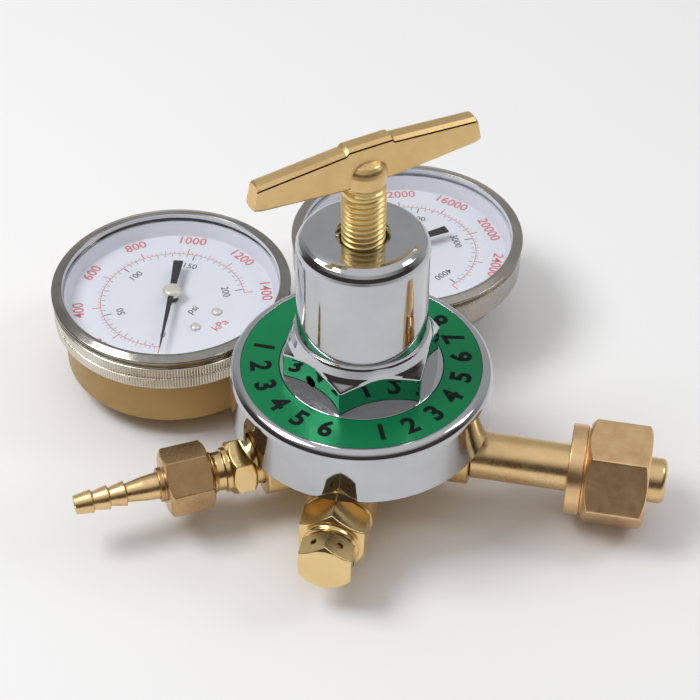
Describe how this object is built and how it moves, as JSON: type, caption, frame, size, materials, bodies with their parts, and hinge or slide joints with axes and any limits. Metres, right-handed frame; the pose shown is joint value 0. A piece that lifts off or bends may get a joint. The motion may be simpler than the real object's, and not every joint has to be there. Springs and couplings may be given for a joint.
{
  "type": "gas regulator",
  "caption": "Gas cylinder pressure regulator with a T-handle screw bonnet, two dial gauges, an inlet nut, a hose outlet and a relief valve.",
  "frame": {"origin": "centre of the flat rear boss of the body", "axes": "+Z along the adjusting screw towards the T-handle, +X along the inlet stem towards the cylinder"},
  "size_m": [0.193, 0.1665, 0.1233],
  "materials": {
    "brass": "polished",
    "chrome": "mirror polished",
    "nickel": "satin nickel plate",
    "steel": "plain",
    "ochre": "satin gold lacquer",
    "green": "satin",
    "white": "semi-matt dial enamel",
    "black": "satin",
    "rubber": "matt",
    "glass": "clear, polished"
  },
  "bodies": {
    "housing": {"regulator_body": "brass", "bonnet": "chrome", "label_ring": "green", "diaphragm": "rubber", "slip_ring": "steel", "valve_nozzle": "brass", "valve_spring": "steel", "inlet_nipple": "brass", "inlet_filter": "brass", "outlet_bushing": "brass", "hose_barb": "brass", "relief_body": "brass", "relief_cap": "brass", "relief_spring": "steel", "low_gauge_case": "ochre", "low_gauge_socket": "brass", "low_gauge_bourdon_tube": "brass", "low_gauge_movement_frame": "brass", "low_gauge_link": "steel", "low_gauge_dial": "white", "low_gauge_dial_screw_left": "nickel", "low_gauge_dial_screw_right": "nickel", "low_gauge_gasket": "rubber", "low_gauge_lens": "glass", "low_gauge_bezel": "chrome", "high_gauge_case": "nickel", "high_gauge_socket": "brass", "high_gauge_bourdon_tube": "brass", "high_gauge_movement_frame": "brass", "high_gauge_link": "steel", "high_gauge_dial": "white", "high_gauge_dial_screw_left": "nickel", "high_gauge_dial_screw_right": "nickel", "high_gauge_gasket": "rubber", "high_gauge_lens": "glass", "high_gauge_bezel": "nickel"},
    "screw": {"adjusting_screw": "brass", "t_handle": "brass"},
    "button": {"spring_button": "steel", "range_spring": "steel"},
    "diaphragm_plate": {"diaphragm_plate": "steel", "valve_poppet": "brass"},
    "relief_plug": {"relief_poppet": "steel"},
    "inlet_nut": {"inlet_nut": "brass"},
    "outlet_nut": {"outlet_nut": "brass"},
    "low_gauge_needle": {"low_gauge_pointer": "black", "low_gauge_pointer_arbor": "brass"},
    "high_gauge_needle": {"high_gauge_pointer": "black", "high_gauge_pointer_arbor": "brass"},
    "low_gauge_sector": {"low_gauge_sector_gear": "brass"},
    "high_gauge_sector": {"high_gauge_sector_gear": "brass"}
  },
  "joints": [
    {"name": "screw_feed", "type": "slide", "parent": "housing", "child": "button", "axis": [0, 0, 1], "range_m": [-0.0087, 0], "deforming": ["range_spring"]},
    {"name": "screw_turn", "type": "hinge", "parent": "button", "child": "screw", "pos_m": [0, 0, 0.11], "axis": [0, 0, 1], "range_deg": [-1800, 0]},
    {"name": "valve_lift", "type": "slide", "parent": "housing", "child": "diaphragm_plate", "axis": [0, 0, 1], "range_m": [-0.0006, 0], "stiffness_N_per_m": 2000, "deforming": ["diaphragm", "valve_spring"]},
    {"name": "relief_lift", "type": "slide", "parent": "housing", "child": "relief_plug", "axis": [0, -1, 0], "range_m": [0, 0.001], "stiffness_N_per_m": 3000, "deforming": ["relief_spring"]},
    {"name": "inlet_nut_spin", "type": "hinge", "parent": "housing", "child": "inlet_nut", "pos_m": [0.075, 0, 0.017], "axis": [1, 0, 0], "continuous": true},
    {"name": "outlet_nut_spin", "type": "hinge", "parent": "housing", "child": "outlet_nut", "pos_m": [-0.04763, -0.0275, 0.017], "axis": [-0.866, -0.5, 0], "continuous": true},
    {"name": "low_gauge_pointer_turn", "type": "hinge", "parent": "housing", "child": "low_gauge_needle", "pos_m": [-0.06703, 0.0387, 0.0298], "axis": [0, 0, 1], "range_deg": [-252, 0]},
    {"name": "low_gauge_sector_turn", "type": "hinge", "parent": "housing", "child": "low_gauge_sector", "pos_m": [-0.05664, 0.0327, 0.0165], "axis": [0, 0, 1], "range_deg": [0, 29.5]},
    {"name": "high_gauge_pointer_turn", "type": "hinge", "parent": "housing", "child": "high_gauge_needle", "pos_m": [0, 0.0774, 0.0298], "axis": [0, 0, 1], "range_deg": [-252, 0]},
    {"name": "high_gauge_sector_turn", "type": "hinge", "parent": "housing", "child": "high_gauge_sector", "pos_m": [0, 0.0654, 0.0165], "axis": [0, 0, 1], "range_deg": [0, 29.5]}
  ],
  "couplings": [
    {"joint": "screw_turn", "follows": "screw_feed", "rad_per_m": 3590.4},
    {"joint": "low_gauge_sector_turn", "follows": "low_gauge_pointer_turn", "ratio": -0.11628},
    {"joint": "high_gauge_sector_turn", "follows": "high_gauge_pointer_turn", "ratio": -0.11628}
  ]
}
